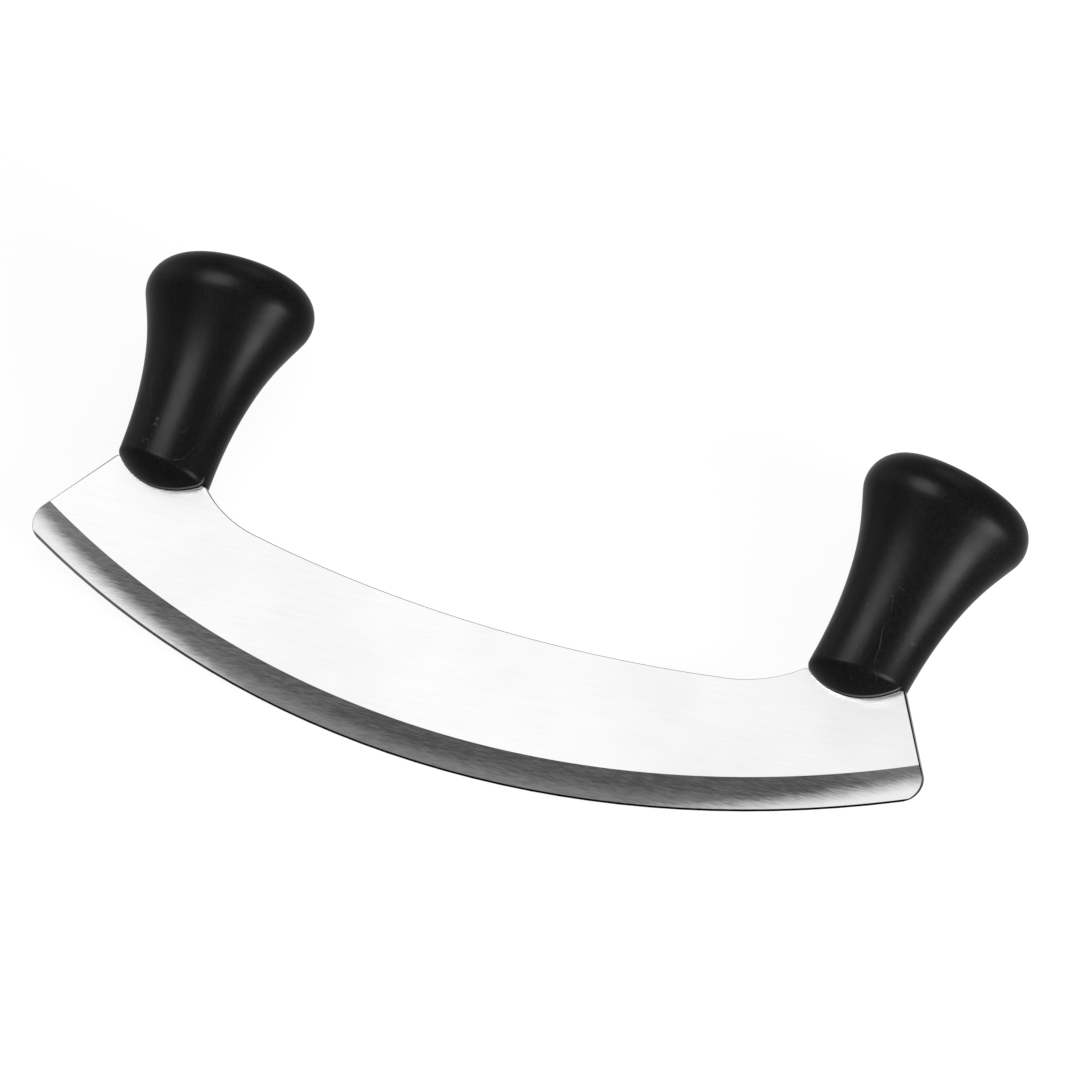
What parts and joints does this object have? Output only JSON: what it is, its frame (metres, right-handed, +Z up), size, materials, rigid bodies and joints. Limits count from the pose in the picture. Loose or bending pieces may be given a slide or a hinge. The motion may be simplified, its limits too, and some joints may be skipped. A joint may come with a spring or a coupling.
{
  "type": "mezzaluna",
  "caption": "Two-handled rocking herb knife: a curved steel blade, ground along its convex edge, with a flared black knob handle moulded over the tang at each end.",
  "frame": {"origin": "on the table under the middle of the bounding box, with the knife lying on its cutting edge and both knobs", "axes": "+X along the blade, +Y from the cutting edge towards the handles, +Z up from the table; the plate's front face looks up"},
  "size_m": [0.2384, 0.1038, 0.0364],
  "materials": {
    "blade_steel": "satin, ground along the bevel",
    "handle_plastic": "fine satin moulding"
  },
  "bodies": {
    "root": {"blade": "blade_steel", "left_handle": "handle_plastic", "right_handle": "handle_plastic"}
  },
  "joints": []
}
